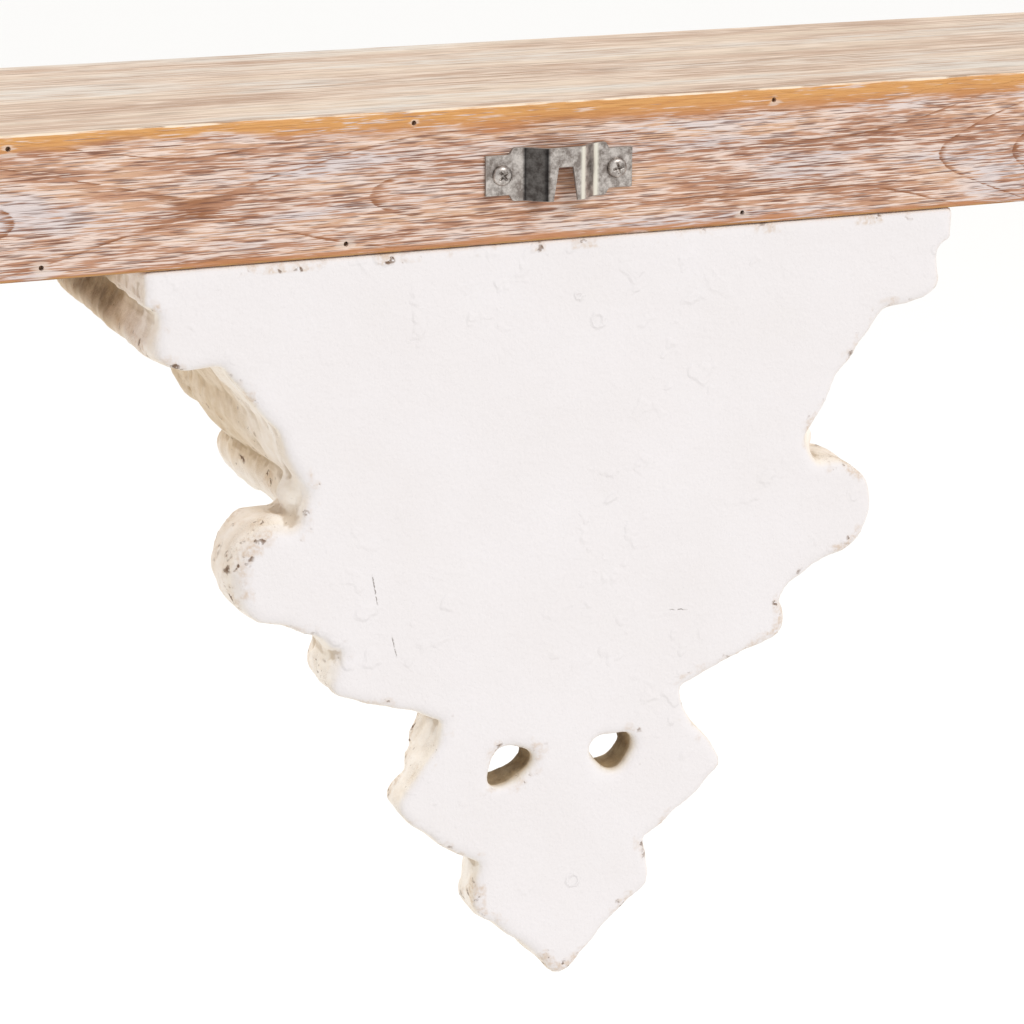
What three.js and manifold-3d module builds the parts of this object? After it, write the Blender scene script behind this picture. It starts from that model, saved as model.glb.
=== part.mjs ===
// Wall shelf on two carved corbel brackets.
//
// The shelf is a hollow box beam: four thin boards mitred along their long edges, bradded
// through the back and the front, and closed by a board at each end. A bearer block inside
// the beam, over each bracket, takes the bracket screws and the screws of a bent steel hanger.
//
// Frame: millimetres, +X to the right seen from the front, the room at -Y, the wall at +Y,
// +Z up. The origin is on the back face of the shelf, at mid length and mid height.

import * as THREE from 'three';
import { mergeVertices } from 'three/addons/utils/BufferGeometryUtils.js';
import Module from 'manifold-3d';

const wasm = await Module();
wasm.setup();

// ---------------------------------------------------------------- driving dimensions

const SHELF_LENGTH = 1200;
const SHELF_DEPTH = 137;
const SHELF_HEIGHT = 47;
const BOARD = 9;             // thickness of every board of the beam
const ARRIS = 1.25;          // rounding of the long outer edges
const GLUE_GAP = 0.25;       // clearance between one wooden piece and the next

const BRACKET_SPAN = 600;    // bracket centre to bracket centre: half the shelf length
const BEARER_WIDTH = 90;
const RIB_THICKNESS = 12;

const BRACKET_HALF_WIDTH = 149;
const BRACKET_DROP = 272;    // from the shelf's underside to the tip
const CAP_DEPTH = 128;       // the moulded cap runs nearly to the front of the shelf
const CAP_HEIGHT = 34;
const EYES = [               // the two pierced eyes near the foot, one cut as a leaning oval
  { x: 21, drop: 189, long: 8.8, short: 6.2, lean: -27 },
  { x: -19.8, drop: 188.5, long: 7.6, short: 7.2, lean: 0 },
];

const BRAD_RADIUS = 0.6;
const BRAD_LENGTH = 20;
const BRAD_SINK = 1.5;       // brads are punched below the surface
const BRAD_EDGE = 4.25;      // from the shelf's edge to the row of brads
const BRAD_HOLE_RADIUS = 0.9;
const UPPER_BRADS_X = [109, 244, 376, 510];
const LOWER_BRADS_X = [118, 220, 365, 505];

const HANGER_OFFSET = 4.4;   // hanger centre from the bracket centre, towards mid length
const STRAP = 1.2;           // sheet thickness of the hanger
const STRAP_RISE = 5.5;      // how far the bridge stands off the back board
const EAR_END = 26.7;        // half lengths along the strap
const EAR_START = 17;
const BEND_FOOT = 12.7;
const BEND_HEAD = 6.3;
const EAR_HEIGHT = 13.6;
const BRIDGE_HEIGHT = 18;
const SLOT_HEIGHT = 11.4;    // slot open at the bottom edge of the bridge
const SLOT_TOP_WIDTH = 5.2;
const SLOT_BOTTOM_WIDTH = 8.8;

const HANGER_SCREW_X = 20.9; // from the hanger's centre
const HANGER_SCREW = { head: 3.5, headHeight: 1.8, shank: 1.5, length: 16 };
const BRACKET_SCREW = { head: 4.5, headHeight: 3.5, shank: 2.2, length: 66 };
const BRACKET_SCREW_TOP = 9; // height of the countersunk heads inside the bearer blocks
const BRACKET_SCREWS_XY = [[-30, -42], [30, -42], [0, -98]];
const SCREW_GAP = 0.3;       // around a shank in its hole
const HEAD_GAP = 0.05;       // under a pan head

// derived
const TOP = SHELF_HEIGHT / 2;
const INNER = TOP - BOARD;
const INNER_DEPTH = SHELF_DEPTH - 2 * BOARD;
const MID_Y = -SHELF_DEPTH / 2;
const LENGTHWAYS = new THREE.Matrix4().set(0, 0, 1, 0, 1, 0, 0, 0, 0, 1, 0, 0, 0, 0, 0, 1);
const FORWARDS = new THREE.Matrix4().set(1, 0, 0, 0, 0, 0, -1, 0, 0, 1, 0, 0, 0, 0, 0, 1);

// ---------------------------------------------------------------- materials

function paint(color, roughness, metalness = 0) {
  return new THREE.MeshStandardMaterial({ color, roughness, metalness });
}

const limedTop = () => paint(0xd9c8b2, 0.75);
const limedWood = () => paint(0xc9a58c, 0.75);
const rawWood = () => paint(0xd8b98c, 0.8);
const chalkPaint = () => paint(0xf2eeea, 0.85);
const platedSteel = () => paint(0xb9babb, 0.3, 1);
const blackSteel = () => paint(0x4a4742, 0.5, 1);

// ---------------------------------------------------------------- solids

function toSolid(geometry) {
  const bare = geometry.clone();
  bare.deleteAttribute('normal');
  bare.deleteAttribute('uv');
  const merged = mergeVertices(bare, 1e-4);
  const vertProperties = new Float32Array(merged.attributes.position.array);
  const triVerts = new Uint32Array(merged.index.array);
  return new wasm.Manifold(new wasm.Mesh({ numProp: 3, vertProperties, triVerts }));
}

function toGeometry(solid) {
  const mesh = solid.getMesh();
  const geometry = new THREE.BufferGeometry();
  geometry.setAttribute('position', new THREE.BufferAttribute(mesh.vertProperties, 3));
  geometry.setIndex(new THREE.BufferAttribute(mesh.triVerts, 1));
  geometry.computeVertexNormals();
  return geometry;
}

function cut(geometry, tools) {
  let solid = toSolid(geometry);
  for (const tool of tools) {
    solid = solid.subtract(toSolid(tool));
  }
  return toGeometry(solid);
}

// A section drawn in (y, z), run along X about the middle of the shelf.
function runLengthways(shape, length, curveSegments = 4) {
  const geometry = new THREE.ExtrudeGeometry(shape, { depth: length, bevelEnabled: false, curveSegments });
  geometry.translate(0, 0, -length / 2);
  return geometry.applyMatrix4(LENGTHWAYS);
}

// An outline drawn in (x, z), run from the back face (y = 0) towards the room.
function runForwards(shape, depth, curveSegments = 6) {
  const geometry = new THREE.ExtrudeGeometry(shape, { depth, bevelEnabled: false, curveSegments });
  return geometry.applyMatrix4(FORWARDS);
}

function block(width, depth, height, x, y, z) {
  return new THREE.BoxGeometry(width, depth, height).translate(x, y, z);
}

// A round bar along Y, from yBack towards the room.
function barAlongY(radius, length, x, yBack, z, sides = 8) {
  const geometry = new THREE.CylinderGeometry(radius, radius, length, sides);
  return geometry.translate(0, -length / 2, 0).translate(x, yBack, z);
}

// A round bar along Z, hanging down from zTop.
function barAlongZ(radius, length, x, y, zTop, sides = 10) {
  const geometry = new THREE.CylinderGeometry(radius, radius, length, sides);
  return geometry.rotateX(Math.PI / 2).translate(x, y, zTop - length / 2);
}

// ---------------------------------------------------------------- brads

function bradRow(face, level) {
  const places = level > 0 ? UPPER_BRADS_X : LOWER_BRADS_X;
  const row = [];
  for (const side of [-1, 1]) {
    for (const x of places) {
      row.push({ x: side * x, z: level * (TOP - BRAD_EDGE), face });
    }
  }
  return row.sort((a, b) => a.x - b.x);
}

// A brad or its hole: it starts "sink" below the face and runs into the beam.
function bradShaft(brad, radius, sink, length, sides) {
  const yBack = brad.face === 'back' ? -sink : -SHELF_DEPTH + sink + length;
  return barAlongY(radius, length, brad.x, yBack, brad.z, sides);
}

const BRADS = [];
for (const face of ['back', 'front']) {
  for (const level of [1, -1]) {
    bradRow(face, level).forEach((brad, i) => {
      const row = level > 0 ? 'upper' : 'lower';
      BRADS.push({ ...brad, level, name: `${face}_${row}_brad_${i + 1}` });
    });
  }
}

function bradHoles(wanted) {
  const deep = BRAD_SINK + BRAD_LENGTH + SCREW_GAP;
  return BRADS.filter(wanted).map((brad) => bradShaft(brad, BRAD_HOLE_RADIUS, -1, deep + 1, 8));
}

// ---------------------------------------------------------------- boards of the beam

// The section of a long board: its outer face on v = 0 and its inner face on v = -BOARD, the edges
// at u = -half and u = half mitred at 45 degrees, with the arris eased to a small round.
function mitredSection(half) {
  const inset = ARRIS * (1 - Math.SQRT1_2);
  const gap = GLUE_GAP / 2;
  const shape = new THREE.Shape();
  shape.moveTo(-half + inset + gap, -inset);
  shape.absarc(-half + ARRIS + gap, -ARRIS, ARRIS, 0.75 * Math.PI, 0.5 * Math.PI, true);
  shape.absarc(half - ARRIS - gap, -ARRIS, ARRIS, 0.5 * Math.PI, 0.25 * Math.PI, true);
  shape.lineTo(half - BOARD - gap, -BOARD);
  shape.lineTo(-half + BOARD + gap, -BOARD);
  shape.closePath();
  return shape;
}

// The four long boards differ only in their width and in which way the outer face looks.
function longBoard(half, turn, y, z) {
  const geometry = runLengthways(mitredSection(half), SHELF_LENGTH, 2);
  return geometry.rotateX(turn).translate(0, y, z);
}

function hangerX(side) {
  return side * (BRACKET_SPAN / 2 - HANGER_OFFSET);
}

function hangerScrewPlaces() {
  const places = [];
  for (const side of [-1, 1]) {
    for (const end of [-1, 1]) {
      places.push({ side, x: hangerX(side) + end * HANGER_SCREW_X });
    }
  }
  return places;
}

function hangerScrewHoles() {
  const { shank, length } = HANGER_SCREW;
  return hangerScrewPlaces().map(({ x }) => barAlongY(shank + SCREW_GAP, length + 6, x, 5, 0));
}

function bracketScrewPlaces() {
  const places = [];
  for (const side of [-1, 1]) {
    for (const [dx, y] of BRACKET_SCREWS_XY) {
      places.push({ side, x: side * BRACKET_SPAN / 2 + dx, y });
    }
  }
  return places;
}

// The shank's hole, and the wide counterbore over the head inside the bearer block.
function bracketScrewHoles(counterbored) {
  const { shank, head, headHeight, length } = BRACKET_SCREW;
  const holes = [];
  for (const { x, y } of bracketScrewPlaces()) {
    holes.push(barAlongZ(shank + SCREW_GAP, length + 10, x, y, BRACKET_SCREW_TOP + 9));
    if (counterbored) {
      const bottom = BRACKET_SCREW_TOP - headHeight;
      holes.push(barAlongZ(head + SCREW_GAP, INNER - bottom, x, y, INNER));
    }
  }
  return holes;
}

function makeBackBoard() {
  const board = longBoard(TOP, -Math.PI / 2, 0, 0);
  return cut(board, [...bradHoles((brad) => brad.face === 'back'), ...hangerScrewHoles()]);
}

function makeFrontBoard() {
  const board = longBoard(TOP, Math.PI / 2, -SHELF_DEPTH, 0);
  return cut(board, bradHoles((brad) => brad.face === 'front'));
}

function makeTopPanel() {
  const board = longBoard(SHELF_DEPTH / 2, 0, MID_Y, TOP);
  return cut(board, bradHoles((brad) => brad.level > 0));
}

function makeBottomPanel() {
  const board = longBoard(SHELF_DEPTH / 2, Math.PI, MID_Y, -TOP);
  return cut(board, [...bradHoles((brad) => brad.level < 0), ...bracketScrewHoles(false)]);
}

function makeEndBoard(side) {
  const x = side * (SHELF_LENGTH - BOARD) / 2;
  return block(BOARD, INNER_DEPTH - 2 * GLUE_GAP, 2 * (INNER - GLUE_GAP), x, MID_Y, 0);
}

function makeBearerBlock(side) {
  const depth = INNER_DEPTH - 2 * GLUE_GAP;
  const body = block(BEARER_WIDTH, depth, 2 * (INNER - GLUE_GAP), side * BRACKET_SPAN / 2, MID_Y, 0);
  return cut(body, [...hangerScrewHoles(), ...bracketScrewHoles(true)]);
}

function makeCentreRib() {
  return block(RIB_THICKNESS, INNER_DEPTH - 2 * GLUE_GAP, 2 * (INNER - GLUE_GAP), 0, MID_Y, 0);
}

// ---------------------------------------------------------------- bracket

// Both outlines below are drawn with their top edge on z = 0, under the shelf.

// Draws the right half of an outline from its top to its tip, then the left half back up.
function mirrored(drawRight, steps = 5) {
  const half = new THREE.Path();
  drawRight(half);
  const right = half.getPoints(steps).filter((p, i, all) => i === 0 || p.distanceTo(all[i - 1]) > 0.05);
  const left = right.filter((p) => p.x > 0.05).map((p) => new THREE.Vector2(-p.x, p.y));
  return new THREE.Shape([...right.reverse(), ...left]);
}

// The back outline: cap end, cove, leaf edge, round side lobe, bead, shoulder, diamond lobe, foot.
function bracketOutline() {
  return mirrored((path) => {
    const edge = BRACKET_HALF_WIDTH;
    path.moveTo(edge, 0);
    path.lineTo(edge, -11);
    path.quadraticCurveTo(edge - 5.5, -13, edge - 5.5, -17);
    path.quadraticCurveTo(edge + 2, -25, edge - 5, -31.5);
    path.quadraticCurveTo(edge - 7, -CAP_HEIGHT, edge - 12, -CAP_HEIGHT);
    path.lineTo(edge - 26, -CAP_HEIGHT);
    path.quadraticCurveTo(115, -47, 105.4, -53.6);
    path.quadraticCurveTo(97.5, -62, 93.2, -78.4);
    path.quadraticCurveTo(93.2, -85, 99.9, -89.5);
    path.absarc(104, -107, 18, 0.572 * Math.PI, -0.62 * Math.PI, true);
    path.quadraticCurveTo(86, -130, 84.5, -137);
    path.absarc(78.5, -145.5, 9.3, 0.2 * Math.PI, -0.4 * Math.PI, true);
    path.quadraticCurveTo(62, -161, 46, -168);
    path.quadraticCurveTo(47, -179, 54, -184.5);
    path.absarc(57.5, -198, 5, 0.2 * Math.PI, -0.2 * Math.PI, true);
    path.quadraticCurveTo(49, -215, 32.5, -224.5);
    path.absarc(25, -238, 10, 0.15 * Math.PI, -0.45 * Math.PI, true);
    path.quadraticCurveTo(14, -257, 0, -BRACKET_DROP);
  });
}

// The side of the carved back plate, in (y, z): thick under the cap, stepped down above the eyes,
// thin at the tip.
function plateSide() {
  const side = new THREE.Shape();
  side.moveTo(0, 0);
  side.lineTo(-36, 0);
  side.lineTo(-34, -60);
  side.quadraticCurveTo(-29, -110, -29, -150);
  side.lineTo(-29, -172);
  side.quadraticCurveTo(-28, -184, -18, -187);
  side.lineTo(-21, -200);
  side.lineTo(-21, -215);
  side.quadraticCurveTo(-19, -240, -13, -BRACKET_DROP - 1);
  side.lineTo(0, -BRACKET_DROP - 1);
  side.closePath();
  return side;
}

// The scrolled body in front of the plate, in (y, z): a large volute, the tip of a leaf under it,
// and a small volute at the foot.
function bodySide() {
  const side = new THREE.Shape();
  side.moveTo(0, -4);
  side.lineTo(-112, -4);
  side.lineTo(-112, -CAP_HEIGHT);
  side.absarc(-107, -60, 15, 0.67 * Math.PI, 1.45 * Math.PI, false);
  side.lineTo(-94, -80);
  side.absarc(-94, -90, 9.5, 0.72 * Math.PI, 1.42 * Math.PI, false);
  side.bezierCurveTo(-80, -98, -62, -106, -54, -122);
  side.absarc(-38, -138, 17, 0.9 * Math.PI, 1.5 * Math.PI, false);
  side.lineTo(0, -166);
  side.closePath();
  return side;
}

// The front of the same body: flared into two leaf lobes above, drawn in to a tongue below.
function bodyFront() {
  return mirrored((path) => {
    path.moveTo(BRACKET_HALF_WIDTH - 26, 0);
    path.lineTo(BRACKET_HALF_WIDTH - 26, -CAP_HEIGHT);
    path.quadraticCurveTo(114, -48, 106, -58);
    path.quadraticCurveTo(106, -72, 93, -82);
    path.quadraticCurveTo(98, -92, 88, -99);
    path.quadraticCurveTo(66, -98, 58, -112);
    path.quadraticCurveTo(46, -128, 44, -168);
    path.lineTo(0, -168);
  });
}

// The moulded cap: fillet, cove and bead, the same on its two ends and its front.
function capEdge(path, face, sign) {
  path.lineTo(sign * face, -11);
  path.quadraticCurveTo(sign * (face - 5.5), -13, sign * (face - 5.5), -17);
  path.quadraticCurveTo(sign * (face + 2), -25, sign * (face - 5), -31.5);
  path.quadraticCurveTo(sign * (face - 7), -CAP_HEIGHT, sign * (face - 12), -CAP_HEIGHT);
}

function capFront() {
  const half = new THREE.Path();
  half.moveTo(BRACKET_HALF_WIDTH, 0);
  capEdge(half, BRACKET_HALF_WIDTH, 1);
  const right = half.getPoints(4);
  const left = right.map((p) => new THREE.Vector2(-p.x, p.y)).reverse();
  return new THREE.Shape([...left, ...right]);
}

function capSide() {
  const path = new THREE.Path();
  path.moveTo(-CAP_DEPTH, 0);
  capEdge(path, CAP_DEPTH, -1);
  const back = [new THREE.Vector2(0, 0), new THREE.Vector2(0, -CAP_HEIGHT)];
  return new THREE.Shape([back[0], ...path.getPoints(4), back[1]]);
}

function eyeTool({ x, drop, long, short, lean }) {
  const bar = barAlongY(1, CAP_DEPTH, 0, 5, 0, 14).scale(long, 1, short);
  return bar.rotateY(THREE.MathUtils.degToRad(-lean)).translate(x, 0, -drop);
}

function makeBracket(side) {
  const wide = 2 * BRACKET_HALF_WIDTH + 20;
  const plate = toSolid(runForwards(bracketOutline(), CAP_DEPTH))
    .intersect(toSolid(runLengthways(plateSide(), wide, 6)));
  const body = toSolid(runForwards(bodyFront(), CAP_DEPTH))
    .intersect(toSolid(runLengthways(bodySide(), wide, 8)));
  const cap = toSolid(runForwards(capFront(), CAP_DEPTH + 2))
    .intersect(toSolid(runLengthways(capSide(), wide, 4)));
  let solid = plate.add(body).add(cap);
  for (const eye of EYES) {
    solid = solid.subtract(toSolid(eyeTool(eye)));
  }
  solid = solid.translate([side * BRACKET_SPAN / 2, 0, -TOP - GLUE_GAP]);
  for (const hole of bracketScrewHoles(false)) {
    solid = solid.subtract(toSolid(hole));
  }
  return toGeometry(solid);
}

// ---------------------------------------------------------------- hangers and screws

// The strap seen from above, in (x, y): flat ears, sloping legs and a raised bridge.
function strapSection() {
  const lean = STRAP * 0.45;
  const shape = new THREE.Shape();
  shape.moveTo(-EAR_END, 0);
  shape.lineTo(-BEND_FOOT + lean, 0);
  shape.lineTo(-BEND_HEAD + lean, STRAP_RISE);
  shape.lineTo(BEND_HEAD - lean, STRAP_RISE);
  shape.lineTo(BEND_FOOT - lean, 0);
  shape.lineTo(EAR_END, 0);
  shape.lineTo(EAR_END, STRAP);
  shape.lineTo(BEND_FOOT, STRAP);
  shape.lineTo(BEND_HEAD, STRAP_RISE + STRAP);
  shape.lineTo(-BEND_HEAD, STRAP_RISE + STRAP);
  shape.lineTo(-BEND_FOOT, STRAP);
  shape.lineTo(-EAR_END, STRAP);
  shape.closePath();
  return shape;
}

function slotTool() {
  const bottom = -BRIDGE_HEIGHT / 2;
  const shape = new THREE.Shape();
  shape.moveTo(-SLOT_BOTTOM_WIDTH / 2, bottom - 1);
  shape.lineTo(SLOT_BOTTOM_WIDTH / 2, bottom - 1);
  shape.lineTo(SLOT_TOP_WIDTH / 2, bottom + SLOT_HEIGHT);
  shape.lineTo(-SLOT_TOP_WIDTH / 2, bottom + SLOT_HEIGHT);
  shape.closePath();
  return runForwards(shape, 20).translate(0, 15, 0);
}

function makeHanger(side) {
  const strap = new THREE.ExtrudeGeometry(strapSection(), { depth: BRIDGE_HEIGHT, bevelEnabled: false });
  strap.translate(0, 0, -BRIDGE_HEIGHT / 2);
  const tools = [slotTool()];
  const trimLength = 2 * (EAR_END - EAR_START);
  const trimHeight = BRIDGE_HEIGHT - EAR_HEIGHT;
  for (const end of [-1, 1]) {
    const x = end * (EAR_START + trimLength / 2);
    for (const edge of [-1, 1]) {
      const z = edge * (EAR_HEIGHT + trimHeight) / 2;
      tools.push(block(trimLength, 8, trimHeight, x, 0, z));
    }
    tools.push(barAlongY(HANGER_SCREW.shank + SCREW_GAP, 10, end * HANGER_SCREW_X, 5, 0));
  }
  return cut(strap, tools).translate(hangerX(side), 0, 0);
}

// A pan head screw turned on Z, its head's underside on z = 0 and its tip pointing down.
function makeHangerScrew(x) {
  const { head, headHeight, shank, length } = HANGER_SCREW;
  const profile = [
    new THREE.Vector2(0, -length),
    new THREE.Vector2(shank, -length + 4),
    new THREE.Vector2(shank, 0),
    new THREE.Vector2(head, 0),
    new THREE.Vector2(head * 0.93, headHeight * 0.6),
    new THREE.Vector2(head * 0.55, headHeight),
    new THREE.Vector2(0, headHeight),
  ];
  const screw = new THREE.LatheGeometry(profile, 12);
  return screw.translate(x, STRAP + HEAD_GAP, 0);
}

// A countersunk wood screw along Z, driven down through the bearer block into the bracket.
function makeBracketScrew(x, y) {
  const { head, headHeight, shank, length } = BRACKET_SCREW;
  const profile = [
    new THREE.Vector2(0, -length),
    new THREE.Vector2(shank, -length + 6),
    new THREE.Vector2(shank, -headHeight),
    new THREE.Vector2(head, -0.6),
    new THREE.Vector2(head, 0),
    new THREE.Vector2(0, 0),
  ];
  const screw = new THREE.LatheGeometry(profile, 10);
  return screw.rotateX(Math.PI / 2).translate(x, y, BRACKET_SCREW_TOP);
}

// ---------------------------------------------------------------- assembly

const shelf = new THREE.Group();

function addPiece(name, geometry, material) {
  const mesh = new THREE.Mesh(geometry, material);
  mesh.name = name;
  shelf.add(mesh);
}

addPiece('top_panel', makeTopPanel(), limedTop());
addPiece('bottom_panel', makeBottomPanel(), limedWood());
addPiece('back_board', makeBackBoard(), limedWood());
addPiece('front_board', makeFrontBoard(), limedWood());
addPiece('centre_rib', makeCentreRib(), rawWood());

for (const [word, side] of [['left', -1], ['right', 1]]) {
  addPiece(`${word}_end_board`, makeEndBoard(side), limedWood());
  addPiece(`${word}_bearer_block`, makeBearerBlock(side), rawWood());
  addPiece(`${word}_bracket`, makeBracket(side), chalkPaint());
  addPiece(`${word}_hanger`, makeHanger(side), platedSteel());
  hangerScrewPlaces().filter((place) => place.side === side).forEach(({ x }, i) => {
    addPiece(`${word}_hanger_screw_${i + 1}`, makeHangerScrew(x), platedSteel());
  });
  bracketScrewPlaces().filter((place) => place.side === side).forEach(({ x, y }, i) => {
    addPiece(`${word}_bracket_screw_${i + 1}`, makeBracketScrew(x, y), blackSteel());
  });
}

for (const brad of BRADS) {
  addPiece(brad.name, bradShaft(brad, BRAD_RADIUS, BRAD_SINK, BRAD_LENGTH, 6), blackSteel());
}

export default shelf;
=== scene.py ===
import bpy
import numpy as np
from mathutils import Matrix, Vector


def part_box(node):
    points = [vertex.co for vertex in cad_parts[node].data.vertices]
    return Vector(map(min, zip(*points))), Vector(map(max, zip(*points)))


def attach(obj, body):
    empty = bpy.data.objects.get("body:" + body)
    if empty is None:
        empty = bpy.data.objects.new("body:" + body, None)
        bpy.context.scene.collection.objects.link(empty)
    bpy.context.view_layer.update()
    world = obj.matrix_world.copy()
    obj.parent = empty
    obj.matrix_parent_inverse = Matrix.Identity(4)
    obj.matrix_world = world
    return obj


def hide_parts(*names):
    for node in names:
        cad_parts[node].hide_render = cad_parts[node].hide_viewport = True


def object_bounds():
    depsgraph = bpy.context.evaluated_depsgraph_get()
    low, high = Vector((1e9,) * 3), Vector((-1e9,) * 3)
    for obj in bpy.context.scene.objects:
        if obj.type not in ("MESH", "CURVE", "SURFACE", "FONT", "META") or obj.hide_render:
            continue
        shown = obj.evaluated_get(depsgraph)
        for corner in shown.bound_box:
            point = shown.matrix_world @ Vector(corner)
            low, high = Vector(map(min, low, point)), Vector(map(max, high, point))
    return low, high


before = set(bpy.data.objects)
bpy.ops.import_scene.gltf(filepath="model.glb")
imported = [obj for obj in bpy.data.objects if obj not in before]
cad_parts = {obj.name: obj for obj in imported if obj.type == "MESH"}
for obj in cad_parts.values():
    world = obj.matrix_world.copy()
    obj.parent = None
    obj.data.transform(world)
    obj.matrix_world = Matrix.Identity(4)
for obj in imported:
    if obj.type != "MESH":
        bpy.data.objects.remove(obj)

cad_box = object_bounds()


# ---------------------------------------------------------------------------------------------
# Studio. A large matt white floor well below the shelf, which hangs as it would on its wall;
# soft lamps on the wall side, and a long lens looking down at the back of the left bracket.
# ---------------------------------------------------------------------------------------------

def linear(hexcode):
    """sRGB hex to linear RGBA: the standard curve, a power of 2.4 above the dark toe."""
    srgb = np.array([int(hexcode[i:i + 2], 16) / 255 for i in (1, 3, 5)])
    rgb = np.where(srgb <= 0.04045, srgb / 12.92, ((srgb + 0.055) / 1.055) ** 2.4)
    return (*rgb, 1.0)


def add_node(tree, kind, inputs=None, output=0, **settings):
    """Adds one shader node and sets its properties. Each input, by name or number, is linked if its
    value is another node's output, or set: a hex code as a linear colour. Returns one output."""
    node = tree.nodes.new("ShaderNode" + kind)
    for name, value in settings.items():
        setattr(node, name, value)
    for name, value in (inputs or {}).items():
        if isinstance(value, bpy.types.NodeSocket):
            tree.links.new(value, node.inputs[name])
        else:
            node.inputs[name].default_value = linear(value) if isinstance(value, str) else value
    return node.outputs[output]


def start_material(name, **shader_values):
    """A material with one Principled shader; returns the material, its tree and that shader."""
    material = bpy.data.materials.new(name)
    material.use_nodes = True
    tree = material.node_tree
    shader = tree.nodes["Principled BSDF"]
    for socket, value in shader_values.items():
        value = linear(value) if isinstance(value, str) else value
        shader.inputs[socket.replace("_", " ")].default_value = value
    return material, tree, shader


def mesh_object(name, vertices, faces, smooth=True):
    """An object from an (n, 3) array in metres and a list or array of faces."""
    mesh = bpy.data.meshes.new(name)
    mesh.from_pydata(np.asarray(vertices, float).tolist(), [], np.asarray(faces).tolist())
    mesh.polygons.foreach_set("use_smooth", np.full(len(mesh.polygons), smooth))
    mesh.update()
    piece = bpy.data.objects.new(name, mesh)
    bpy.context.scene.collection.objects.link(piece)
    return piece


FLOOR_DROP = 0.55            # m below the lowest point of the brackets
FLOOR_HALF = 14.0

floor_z = cad_box[0][2] - FLOOR_DROP
corners = [(-FLOOR_HALF, -FLOOR_HALF, floor_z), (FLOOR_HALF, -FLOOR_HALF, floor_z),
           (FLOOR_HALF, FLOOR_HALF, floor_z), (-FLOOR_HALF, FLOOR_HALF, floor_z)]
floor = mesh_object("studio_floor", corners, [(0, 1, 2, 3)], smooth=False)
floor_paint, _, _ = start_material("matt white studio floor", Base_Color="#F4F3F1", Roughness=0.9)
floor.data.materials.append(floor_paint)


def soft_lamp(name, kind, place, aim, strength, **settings):
    """A lamp at a place, facing an aim point."""
    lamp = bpy.data.lights.new(name, kind)
    lamp.energy = strength
    for setting, value in settings.items():
        setattr(lamp, setting, value)
    rig = bpy.data.objects.new(name, lamp)
    rig.location = place
    rig.rotation_euler = (Vector(aim) - Vector(place)).to_track_quat("-Z", "Y").to_euler()
    bpy.context.scene.collection.objects.link(rig)


soft_lamp("key_sun", "SUN", (-1.3, 2.4, 2.3), (-0.2, 0.0, -0.1), 1.35, angle=np.radians(28))
soft_lamp("front_softbox", "AREA", (0.9, -2.2, 1.5), (0.0, -0.1, -0.1), 26, size=1.0)

sky = bpy.data.worlds.new("studio_ambient")
sky.use_nodes = True
sky.node_tree.nodes["Background"].inputs["Color"].default_value = linear("#FFFFFF")
seen = add_node(sky.node_tree, "MapRange", {"Value": add_node(sky.node_tree, "LightPath"),
                                            "To Min": 0.8, "To Max": 1.1})    # brighter to the camera
sky.node_tree.links.new(seen, sky.node_tree.nodes["Background"].inputs["Strength"])
bpy.context.scene.world = sky
bpy.context.scene.view_settings.view_transform = "Standard"

LENS = 107.6                 # mm on a 36 mm sensor
CAMERA_PLACE = (0.1075, 0.9318, 0.1897)
CAMERA_HEADING = np.radians(22.55)    # turned from straight at the back towards -X
CAMERA_DIP = np.radians(16.95)
CAMERA_ROLL = np.radians(-0.3)

forward = Vector((-np.sin(CAMERA_HEADING) * np.cos(CAMERA_DIP),
                  -np.cos(CAMERA_HEADING) * np.cos(CAMERA_DIP), -np.sin(CAMERA_DIP)))
right = Vector((-np.cos(CAMERA_HEADING), np.sin(CAMERA_HEADING), 0.0))
up = right.cross(forward)
turned_right = right * np.cos(CAMERA_ROLL) - up * np.sin(CAMERA_ROLL)
turned_up = up * np.cos(CAMERA_ROLL) + right * np.sin(CAMERA_ROLL)
camera_data = bpy.data.cameras.new("camera")
camera_data.lens = LENS
camera_data.sensor_width = 36
camera = bpy.data.objects.new("camera", camera_data)
camera.matrix_world = Matrix((turned_right, turned_up, -forward)).transposed().to_4x4()
camera.location = CAMERA_PLACE
bpy.context.scene.collection.objects.link(camera)
bpy.context.scene.camera = camera


# ---------------------------------------------------------------------------------------------
# Shelf boards. Plain sawn softwood, stained, wire brushed and limed, mitred into a hollow beam.
# The lime stays in the brushed grain; along the arrises it is rubbed back to orange timber.
# ---------------------------------------------------------------------------------------------

RING = 7.0                   # mm between growth rings
TOP_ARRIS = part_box("top_panel")[1][2] * 1000


def assign(node_name, material):
    """Gives a CAD node's object one material."""
    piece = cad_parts[node_name]
    piece.data.materials.clear()
    piece.data.materials.append(material)


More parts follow.
